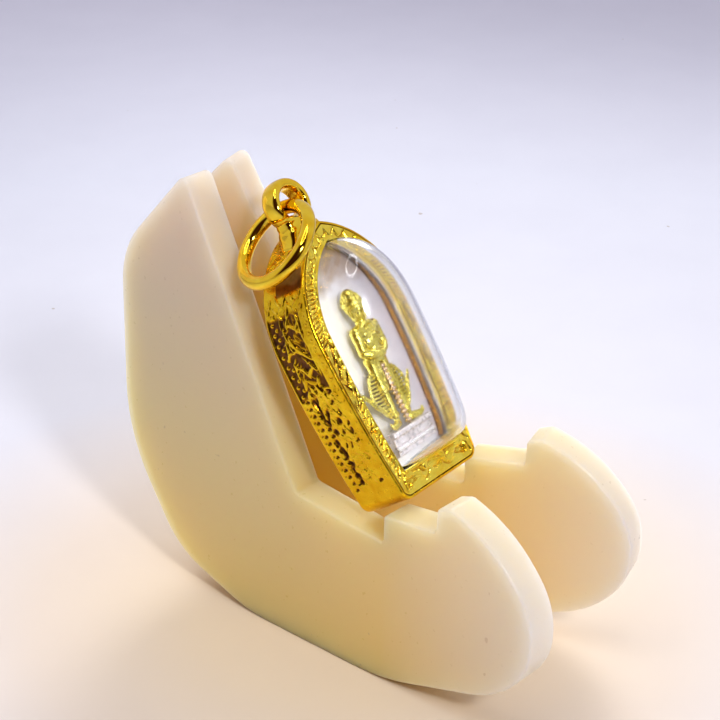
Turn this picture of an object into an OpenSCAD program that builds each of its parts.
// Amulet pendant in a gold case, leaning on a small folding display stand.
//
// Millimetres, +Z up, the front looks along -Y. The base of the stand lies on
// z = 0 and the middle of the whole thing's footprint is at x = 0, y = 0.
//
// The pendant is drawn upright in its own frame first: x across, z up from the
// bottom of the case, y = 0 half way through the case's thickness. in_pendant()
// then leans it back onto the stand. Each wing of the stand is drawn as a flat
// outline whose first axis is the distance from the line where the wings meet.

/* [Case] */
// Height of the gold case from its flat bottom to the tip of the arch
case_h = 33.65; // [27:0.05:42]
// Greatest width of the case
case_w = 18.4; // [14:0.1:26]
// Width of the case at its flat bottom
case_base_w = 14.7; // [12:0.1:18]
// Height above the bottom at which the case is widest
case_wide_z = 20.85; // [14:0.05:24]
// Thickness of the case from the bezel's face to the back
case_t = 7.2; // [5:0.1:10]
// Radius of the two bottom corners
case_corner_r = 1.6; // [0.5:0.1:2]
// Width of the bezel round the window
bezel_w = 2.35; // [1.5:0.05:3]
// Width of the bezel under the window
bezel_foot_w = 3.2; // [2.35:0.05:4]
// Thickness of the gold at the side wall
case_wall = 1.2; // [0.8:0.05:1.5]
// Thickness of the bezel's lip and of the back
lip_t = 0.9; // [0.6:0.05:1.2]

/* [Window and backing] */
// How far the clear dome stands out in front of the bezel
dome_h = 5.8; // [3:0.1:7]
// Wall thickness of the clear dome
dome_wall = 0.9; // [0.6:0.05:1.4]
// How square the dome's top end is along its length (2 is an ellipse)
dome_power = 5; // [2:0.5:8]
// How square the dome's bottom end is
dome_foot_power = 12; // [4:1:16]
// Thickness of the silver backing tray's face and rim
backing_t = 0.8; // [0.5:0.1:1.2]
// Face of the silver tray behind the case's middle (less than 0 is in front of it)
backing_y = -0.2; // [-0.5:0.1:1]
// Gap left round a piece that is set inside another
fit_gap = 0.1; // [0.05:0.05:0.2]

/* [Bail and jump ring] */
// Outer diameter of the bail's loop
bail_d = 6.3; // [5.5:0.1:8]
// Hole of the bail's loop
bail_hole_d = 4.1; // [3.8:0.1:4.4]
// Width of the bail's band from front to back
bail_w = 2.4; // [2:0.1:3]
// Height of the loop's middle above the bottom of the case
bail_z = 36.95; // [35:0.05:38]
// Jump ring, diameter at the middle of its wire
ring_d = 10.4; // [9:0.1:12]
// Thickness of the jump ring's wire
ring_wire_d = 1.74; // [1.4:0.02:2]
// How far the jump ring has swung down to the left from lying level
ring_swing = 41.5; // [35:0.5:50]

/* [Guardian figure] */
// Height of the standing figure from soles to crown
figure_h = 17.2; // [14:0.1:18]
// Height of its soles above the bottom of the case
figure_z = 7.55; // [6.5:0.05:9]
// Middle of the figure in front of the case's middle
figure_y = -2.0; // [-2.6:0.1:-1.5]
// Number of beads on the staff
staff_beads = 12; // [8:1:14]
// Diameter of one bead
staff_bead_d = 0.78; // [0.6:0.02:0.9]
// Height of the staff, from the plinth to the hands
staff_h = 7.9; // [7:0.1:8.2]

/* [How the pendant stands] */
// How far the pendant leans back
lean = 34; // [25:0.5:40]
// How far the pendant is turned on the stand
turn = -3.5; // [-5:0.5:5]
// Middle of the case's bottom, to the right of the footprint's middle
pendant_x = -0.75; // [-1:0.05:1]
// Middle of the case's bottom, behind the footprint's middle
pendant_y = -9.4; // [-11:0.05:-7]
// Middle of the case's bottom above the table
pendant_z = 21.75; // [21:0.05:25]

/* [Stand] */
// Thickness of each wing
wing_t = 4.4; // [3:0.1:5]
// Angle of each wing from straight ahead
wing_splay = 8.4; // [6:0.1:10]
// Height of the top corner of a wing
wing_h = 56.2; // [50:0.1:60]
// Height of the seat that the case stands on
seat_z = 19.8; // [17:0.1:21]
// Diameter of the hinge pin that joins the wings at the back
pin_d = 3; // [2:0.1:3.4]

/* [Hidden] */
$fn = 64;
half_w = case_w / 2;
base_half = case_base_w / 2;
// The side arcs bulge from the base width to the full width at case_wide_z,
// and the arch arcs run on from there to the tip: each is tangent to upright.
side_r = (pow(case_wide_z, 2) + pow(half_w - base_half, 2)) / (2 * (half_w - base_half));
arch_r = (pow(case_h - case_wide_z, 2) + pow(half_w, 2)) / (2 * half_w);
front_y = -case_t / 2;
back_y = case_t / 2;
flange_inset = case_wall + fit_gap;
window_inset = bezel_w + fit_gap;
window_lift = bezel_foot_w - bezel_w;
bail_band = (bail_d - bail_hole_d) / 2;
staff_y = -0.5;
eps = 0.01;

// Wing outline: distance from the hinge line, height, corner radius.
// Front edge, seat, notch, shelf, tooth, round nose, base and round back.
wing_back = 16.74;
wing_nose = 81.65;
WING_CORNERS = [
    // along, height, radius
    [28.0, wing_h, 1.0],
    [46.0, seat_z + 0.5, 0.8],
    [59.9, seat_z - 0.85, 0.5],
    [59.9, seat_z + 2.75, 0.4],
    [67.6, seat_z + 3.7, 0.4],
    [67.7, seat_z + 6.7, 0.5],
    [69.6, seat_z + 7.4, 1.0],
    [75.6, seat_z + 5.4, 18],
    [wing_nose, seat_z - 2, 10],
    [wing_nose, 10.9, 8.4],
    [77.2, 5.3, 13],
    [60.0, 0, 30],
    [38.2, 0, 20],
    [25.8, 4.2, 12],
    [wing_back, 18, 24],
    [wing_back, 43.6, 12]
];
// The footprint runs from the back of the wings to their noses, so its middle
// sets how far behind the origin the hinge line stands.
hinge_y = (wing_nose + wing_back) / 2 * cos(wing_splay);
pin_along = wing_back + 2.3;

// Half width of the case's outline, drawn in by d, at height z.
function half_at(z, d) = z < case_wide_z
    ? half_w - side_r + sqrt(pow(side_r - d, 2) - pow(z - case_wide_z, 2))
    : half_w - arch_r + sqrt(max(0, pow(arch_r - d, 2) - pow(z - case_wide_z, 2)));
// Height of the arch's tip when the outline is drawn in by d.
function tip_at(d) = case_wide_z + sqrt(pow(arch_r - d, 2) - pow(arch_r - half_w, 2));

// Points of an outline whose corners [x, y, radius] are rounded with arcs.
function unit(v) = v / norm(v);
function corner_arc(a, b, c, r, n = 7) =
    let (u = unit([a[0] - b[0], a[1] - b[1]]), v = unit([c[0] - b[0], c[1] - b[1]]),
         half = acos(u * v) / 2,
         reach = r / tan(half),
         p = [b[0], b[1]] + u * reach,
         q = [b[0], b[1]] + v * reach,
         m = [b[0], b[1]] + unit(u + v) * (r / sin(half)),
         a0 = atan2(p[1] - m[1], p[0] - m[0]),
         da = atan2(q[1] - m[1], q[0] - m[0]) - a0,
         turn_a = da > 180 ? da - 360 : da < -180 ? da + 360 : da)
    [for (i = [0:n]) m + r * [cos(a0 + turn_a * i / n), sin(a0 + turn_a * i / n)]];
function rounded(c) = [for (i = [0:len(c) - 1])
    each corner_arc(c[(i + len(c) - 1) % len(c)], c[i], c[(i + 1) % len(c)], c[i][2])];

// The pendant's own frame, leaned back and turned on the stand.
module in_pendant() {
    translate([pendant_x, pendant_y, pendant_z]) rotate([-lean, 0, turn]) children();
}

// A flat shape drawn in x and z, thickened from y0 to y1.
module slab(y0, y1) {
    translate([0, y1, 0]) rotate([90, 0, 0]) linear_extrude(y1 - y0) children();
}

// Right half of the pointed-arch outline drawn in by d, from its bottom up to the tip:
// a corner arc, the long flat side arc and the arch arc. The bottom is raised by lift.
function outline_right(d, lift) =
    let (r = max(0.3, case_corner_r - d),
         z0 = d + lift,
         b = half_at(z0 + r, d),
         sweep = acos((arch_r - half_w) / (arch_r - d)))
    concat([for (i = [0:6]) let (a = -90 + 90 * i / 6) [b - r + r * cos(a), z0 + r + r * sin(a)]],
           [for (i = [1:8]) let (z = z0 + r + (case_wide_z - z0 - r) * i / 8) [half_at(z, d), z]],
           [for (i = [1:18]) let (a = sweep * i / 18)
               [half_w - arch_r + (arch_r - d) * cos(a), case_wide_z + (arch_r - d) * sin(a)]]);
module case_outline(d, lift = 0) {
    right = outline_right(d, lift);
    n = len(right);
    polygon(concat(right, [for (i = [n - 2:-1:0]) [-right[i][0], right[i][1]]]));
}

// The loop at the top: a rounded band, standing across the case's thickness.
module bail_loop() {
    translate([0, 0, bail_z]) rotate([90, 0, 0]) rotate_extrude($fn = 96)
        translate([(bail_d + bail_hole_d) / 4, 0]) {
            for (s = [-1, 1]) translate([0, s * (bail_w - bail_band) / 2]) circle(bail_band / 2);
            square([bail_band, bail_w - bail_band], center = true);
        }
}

// The soldered neck that carries the loop on the tip of the arch.
module bail_neck() {
    slab(-1.55, 1.55) polygon([[-3.4, case_h - 1.6], [-2.45, case_h + 0.5], [-2.75, case_h + 1.9],
                               [2.75, case_h + 1.9], [2.45, case_h + 0.5], [3.4, case_h - 1.6]]);
}

// Gold case with its bezel, back, neck and bail, soldered into one piece.
module case_body() {
    color("gold") in_pendant() difference() {
        union() {
            slab(front_y, back_y) case_outline(0);
            bail_neck();
            bail_loop();
        }
        slab(front_y - 1, front_y + lip_t + eps) case_outline(bezel_w, window_lift);
        slab(front_y + lip_t, back_y - lip_t) case_outline(case_wall);
        translate([0, 0, bail_z]) rotate([90, 0, 0])
            cylinder(d = bail_hole_d, h = 6, center = true, $fn = 96);
    }
}

// A closed loaf over the outline drawn in by d: elliptical across, squarer along,
// with a straight skirt that runs back from y_base.
module dome_body(d, rise, y_base, skirt) {
    nz = 22;
    nt = 18;
    z0 = d + window_lift;
    z1 = tip_at(d);
    mid = (z0 + z1) / 2;
    half_len = (z1 - z0) / 2;
    function z_of(i) = mid - half_len * 0.99 * cos(180 * i / nz);
    function swell(z) =
        pow(1 - pow(abs(z - mid) / half_len, z < mid ? dome_foot_power : dome_power), 0.5);
    pts = [for (i = [0:nz], j = [-1:nt + 1])
        let (z = z_of(i), t = 180 * min(max(j, 0), nt) / nt, back = j < 0 || j > nt ? skirt : 0)
        [-half_at(z, d) * cos(t), y_base + back - rise * swell(z) * sin(t), z]];
    w = nt + 3;
    polyhedron(pts, concat(
        [for (i = [0:nz - 1], j = [0:w - 2])
            [i * w + j, (i + 1) * w + j, (i + 1) * w + j + 1, i * w + j + 1]],
        [for (i = [0:nz - 1]) [i * w, i * w + w - 1, (i + 1) * w + w - 1, (i + 1) * w]],
        [[for (j = [0:w - 1]) j]],
        [[for (j = [w - 1:-1:0]) nz * w + j]]));
}

// Clear cover: a flange held behind the bezel's lip and a hollow dome.
module window_dome() {
    flange_y = front_y + lip_t + fit_gap;
    flange_t = 0.8;
    skirt = flange_y + flange_t / 2 - front_y;
    color("lightcyan", 0.4) in_pendant() difference() {
        union() {
            slab(flange_y, flange_y + flange_t) case_outline(flange_inset);
            dome_body(window_inset, dome_h, front_y, skirt);
        }
        dome_body(window_inset + dome_wall, dome_h - dome_wall, front_y, skirt + 2);
    }
}

// Silver tray behind the figure: its rim runs back inside the case and stands on the back.
module backing_plate() {
    rear = back_y - lip_t - fit_gap;
    color("silver") in_pendant() difference() {
        slab(backing_y, rear) case_outline(flange_inset);
        slab(backing_y + backing_t, rear + 1) case_outline(flange_inset + backing_t);
    }
}

// Low silver base under the figure's feet, with a slab that stands out along the top.
module plinth() {
    top = figure_z - fit_gap;
    rear = backing_y - fit_gap;
    color("white") in_pendant() {
        slab(-2.5, rear) polygon([[-3.9, 4.6], [-3.7, top - 0.6], [3.7, top - 0.6], [3.9, 4.6]]);
        slab(-3.0, rear) polygon([[-3.9, top - 0.7], [-3.8, top], [3.8, top], [3.9, top - 0.7]]);
        // the apron under the beads, behind the cover's flange
        slab(-1.65, rear) polygon([[-4.6, 1.5], [-4.1, 4.7], [4.1, 4.7], [4.6, 1.5]]);
    }
}

// A limb or body part from one ball to another, given as [x, y, z, radius].
module link(a, b) {
    hull() for (p = [a, b]) translate([p[0], p[1], p[2]]) sphere(p[3], $fn = 14);
}

// One fluted side panel of the costume: it spreads from the hip and tapers to the ankle.
module hip_panel(s) {
    for (k = [0:4])
        link([s * (1.0 + 0.16 * k), 0.3, 6.6 - 1.15 * k, 0.42],
             [s * (3.7 + 0.42 * k - 0.2 * k * k), 0.2, 5.9 - 1.02 * k, 0.36]);
    // the rolled outer edge, hip to tip to ankle
    link([s * 1.3, 0.3, 7.0, 0.4], [s * 4.45, 0.2, 5.0, 0.4]);
    link([s * 4.45, 0.2, 5.0, 0.4], [s * 3.7, 0.2, 3.2, 0.38]);
    link([s * 3.7, 0.2, 3.2, 0.38], [s * 1.9, 0.3, 1.1, 0.4]);
    link([s * 1.2, 0.3, 6.6, 0.45], [s * 1.9, 0.3, 1.1, 0.4]);
}

// Standing guardian in cast gold, hands together on the staff, feet apart.
module guardian_figure() {
    k = figure_h / 17.2;
    color("goldenrod") in_pendant() translate([0, figure_y, figure_z]) scale(k) {
        difference() {
            union() {
                // head, cap and its knob
                link([0, -0.1, 14.5, 1.3], [0, -0.1, 15.35, 1.42]);
                link([0, 0, 16.0, 1.05], [0, 0, 16.85, 0.35]);
                // neck, shoulders, trunk and hips
                link([0, 0.05, 12.9, 0.85], [0, 0, 13.9, 0.8]);
                link([-1.45, 0, 12.1, 0.95], [1.45, 0, 12.1, 0.95]);
                link([-0.3, 0.05, 11.6, 1.2], [0.3, 0.05, 11.6, 1.2]);
                link([0, 0, 11.3, 1.2], [0, 0.1, 9.3, 1.05]);
                link([-0.7, 0.1, 8.75, 0.95], [0.7, 0.1, 8.75, 0.95]);
                for (s = [-1, 1]) {
                    // upper arm, forearm, leg and turned-out foot
                    link([s * 1.95, 0, 12.0, 0.66], [s * 2.2, 0, 9.75, 0.52]);
                    link([s * 2.2, 0, 9.75, 0.5], [s * 0.5, -0.95, 8.95, 0.42]);
                    link([s * 1.05, 0.1, 8.3, 0.72], [s * 1.2, 0, 1.0, 0.5]);
                    link([s * 1.3, 0.1, 0.6, 0.52], [s * 2.6, -0.55, 0.42, 0.42]);
                    hip_panel(s);
                }
                // hidden post that fixes the figure to the backing tray
                translate([0, 0, 9.2]) rotate([-90, 0, 0])
                    cylinder(d = 1.2, h = (backing_y - figure_y - 2 * fit_gap) / k, $fn = 24);
            }
            // flat soles, and a groove that clears the staff
            translate([-10, -10, -5]) cube([20, 20, 5]);
            translate([0, staff_y, -1]) cylinder(d = staff_bead_d + 0.2, h = staff_h + 1.1, $fn = 24);
        }
    }
}

// Beaded staff in front of the figure, from the hands down to the plinth.
module bead_staff() {
    pitch = (staff_h - 0.14) / staff_beads;
    color("rosybrown") in_pendant() translate([0, figure_y + staff_y, figure_z + 0.02]) {
        cylinder(d = 0.4, h = staff_h - 0.05, $fn = 24);
        for (i = [0:staff_beads - 1])
            translate([0, 0, (i + 0.5) * pitch + 0.06]) sphere(d = staff_bead_d, $fn = 24);
    }
}

// Loose round-wire ring through the bail, swung down on to the left shoulder.
module jump_ring() {
    hang = ring_d / 2;
    color("gold") in_pendant() translate([-0.72, 0, bail_z - 0.18])
        rotate([0, -ring_swing, 0]) translate([-hang, 0, 0]) rotate([3.7, 0, 0])
            rotate_extrude($fn = 120) translate([ring_d / 2, 0]) circle(d = ring_wire_d, $fn = 32);
}

// One wing: a thick boomerang plate with a sloping back rest, a seat, a shelf
// and a tooth, swung out from the hinge line by side * wing_splay.
module stand_wing(side) {
    color("ivory") difference() {
        translate([0, hinge_y, 0]) rotate([0, 0, side * wing_splay])
            rotate([90, 0, -90]) linear_extrude(wing_t, center = true) polygon(rounded(WING_CORNERS));
        translate([0, hinge_y - pin_along, 0]) cylinder(d = pin_d + 0.3, h = 200, center = true);
        translate([side < 0 ? -fit_gap : -60 + fit_gap, -100, -1]) cube([60, 200, 100]);
    }
}

// Round pin down the inside of the back edges, on which the wings fold.
module stand_hinge_pin() {
    color("ivory") translate([0, hinge_y - pin_along, 19]) cylinder(d = pin_d, h = 23);
}

case_body();  // case
window_dome();
backing_plate();
plinth();
guardian_figure();
bead_staff();
jump_ring();
stand_wing(-1);  // stand_wing_left
stand_wing(1);  // stand_wing_right
stand_hinge_pin();
